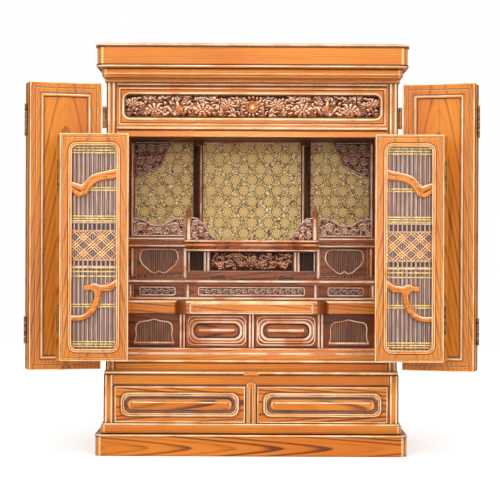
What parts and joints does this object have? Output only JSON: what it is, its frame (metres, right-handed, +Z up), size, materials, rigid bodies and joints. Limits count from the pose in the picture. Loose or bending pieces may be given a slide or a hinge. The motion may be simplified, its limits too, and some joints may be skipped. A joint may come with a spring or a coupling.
{
  "type": "household altar cabinet",
  "caption": "Table-top household altar cabinet in figured wood: folding outer doors, folding lattice doors, carved transom, brocade-backed stepped altar inside, drawers below.",
  "frame": {"origin": "centre of the underside of the base, on the surface the cabinet stands on", "axes": "+Z up, -Y toward the viewer in front of the cabinet, +X to the viewer's right"},
  "size_m": [0.6744, 0.3969, 0.6065],
  "materials": {
    "cabinet_wood": "glossy lacquered figured hardwood, orange brown with darker grain",
    "lattice_wood": "satin thin lattice bars in light brown",
    "altar_wood": "glossy dark reddish-brown lacquered wood",
    "brocade": "olive and gold figured brocade",
    "hinge_brass": "satin brass"
  },
  "bodies": {
    "cabinet": {"plinth_frame": "cabinet_wood", "plinth_bottom": "cabinet_wood", "plinth_moulding": "cabinet_wood", "side_board_left": "cabinet_wood", "side_board_right": "cabinet_wood", "back_panel": "cabinet_wood", "drawer_deck": "cabinet_wood", "drawer_divider": "cabinet_wood", "sill_board": "cabinet_wood", "sill_rail": "cabinet_wood", "front_post_left": "cabinet_wood", "front_post_right": "cabinet_wood", "header": "cabinet_wood", "transom_carving": "cabinet_wood", "header_moulding": "cabinet_wood", "cornice_lower": "cabinet_wood", "cornice_upper": "cabinet_wood", "altar_floor": "altar_wood", "ceiling": "altar_wood", "brocade_panel": "brocade", "bottom_step": "altar_wood", "lower_box_left": "altar_wood", "lower_box_right": "altar_wood", "nest_divider": "altar_wood", "projecting_rail": "altar_wood", "strip_panel": "altar_wood", "step_board": "altar_wood", "upper_box_left": "altar_wood", "upper_box_right": "altar_wood", "dais": "altar_wood", "dais_carving": "altar_wood", "altar_shelf": "altar_wood", "side_railing_left": "altar_wood", "side_railing_right": "altar_wood", "newel_and_steps_left": "altar_wood", "newel_and_steps_right": "altar_wood", "post_and_bracket_left": "altar_wood", "post_and_bracket_right": "altar_wood", "column_left": "altar_wood", "column_right": "altar_wood", "hinge_upper_left": "hinge_brass", "hinge_upper_right": "hinge_brass", "hinge_lower_left": "hinge_brass", "hinge_lower_right": "hinge_brass"},
    "outer_a_left": {"outer_leaf_a_left": "cabinet_wood"},
    "outer_b_left": {"outer_leaf_b_left": "cabinet_wood"},
    "inner_a_left": {"lattice_frame_a_left": "cabinet_wood", "lattice_a_left": "lattice_wood"},
    "inner_b_left": {"lattice_frame_b_left": "cabinet_wood", "lattice_b_left": "lattice_wood"},
    "drawer_left_body": {"drawer_left": "cabinet_wood"},
    "small_drawer_left_body": {"small_drawer_left": "altar_wood"},
    "outer_a_right": {"outer_leaf_a_right": "cabinet_wood"},
    "outer_b_right": {"outer_leaf_b_right": "cabinet_wood"},
    "inner_a_right": {"lattice_frame_a_right": "cabinet_wood", "lattice_a_right": "lattice_wood"},
    "inner_b_right": {"lattice_frame_b_right": "cabinet_wood", "lattice_b_right": "lattice_wood"},
    "drawer_right_body": {"drawer_right": "cabinet_wood"},
    "small_drawer_right_body": {"small_drawer_right": "altar_wood"}
  },
  "joints": [
    {"name": "outer_door_left", "type": "hinge", "parent": "cabinet", "child": "outer_a_left", "pos_m": [-0.2205, -0.142, 0.337], "axis": [0, 0, 1], "range_deg": [0, 163]},
    {"name": "outer_fold_left", "type": "hinge", "parent": "outer_a_left", "child": "outer_b_left", "pos_m": [-0.3322, -0.15628, 0.337], "axis": [0, 0, 1], "range_deg": [0, 178.01]},
    {"name": "lattice_door_left", "type": "hinge", "parent": "cabinet", "child": "inner_a_left", "pos_m": [-0.20225, -0.141, 0.306], "axis": [0, 0, 1], "range_deg": [0, 146.01]},
    {"name": "lattice_fold_left", "type": "hinge", "parent": "inner_a_left", "child": "inner_b_left", "pos_m": [-0.27718, -0.20963, 0.306], "axis": [0, 0, -1], "range_deg": [0, 146.01]},
    {"name": "drawer_slide_left", "type": "slide", "parent": "cabinet", "child": "drawer_left_body", "axis": [0, 1, 0], "range_m": [-0.18, 0]},
    {"name": "small_drawer_slide_left", "type": "slide", "parent": "cabinet", "child": "small_drawer_left_body", "axis": [0, 1, 0], "range_m": [-0.06, 0]},
    {"name": "outer_door_right", "type": "hinge", "parent": "cabinet", "child": "outer_a_right", "pos_m": [0.2205, -0.142, 0.337], "axis": [0, 0, -1], "range_deg": [0, 163]},
    {"name": "outer_fold_right", "type": "hinge", "parent": "outer_a_right", "child": "outer_b_right", "pos_m": [0.3322, -0.15628, 0.337], "axis": [0, 0, -1], "range_deg": [0, 178.01]},
    {"name": "lattice_door_right", "type": "hinge", "parent": "cabinet", "child": "inner_a_right", "pos_m": [0.20225, -0.141, 0.306], "axis": [0, 0, -1], "range_deg": [0, 146.01]},
    {"name": "lattice_fold_right", "type": "hinge", "parent": "inner_a_right", "child": "inner_b_right", "pos_m": [0.27718, -0.20963, 0.306], "axis": [0, 0, 1], "range_deg": [0, 146.01]},
    {"name": "drawer_slide_right", "type": "slide", "parent": "cabinet", "child": "drawer_right_body", "axis": [0, 1, 0], "range_m": [-0.18, 0]},
    {"name": "small_drawer_slide_right", "type": "slide", "parent": "cabinet", "child": "small_drawer_right_body", "axis": [0, 1, 0], "range_m": [-0.06, 0]}
  ],
  "couplings": [
    {"joint": "outer_fold_left", "follows": "outer_door_left", "ratio": 1.092},
    {"joint": "lattice_door_left", "follows": "outer_door_left", "ratio": 0.89571},
    {"joint": "lattice_fold_left", "follows": "outer_door_left", "ratio": 0.89571},
    {"joint": "outer_fold_right", "follows": "outer_door_right", "ratio": 1.092},
    {"joint": "lattice_door_right", "follows": "outer_door_right", "ratio": 0.89571},
    {"joint": "lattice_fold_right", "follows": "outer_door_right", "ratio": 0.89571}
  ]
}
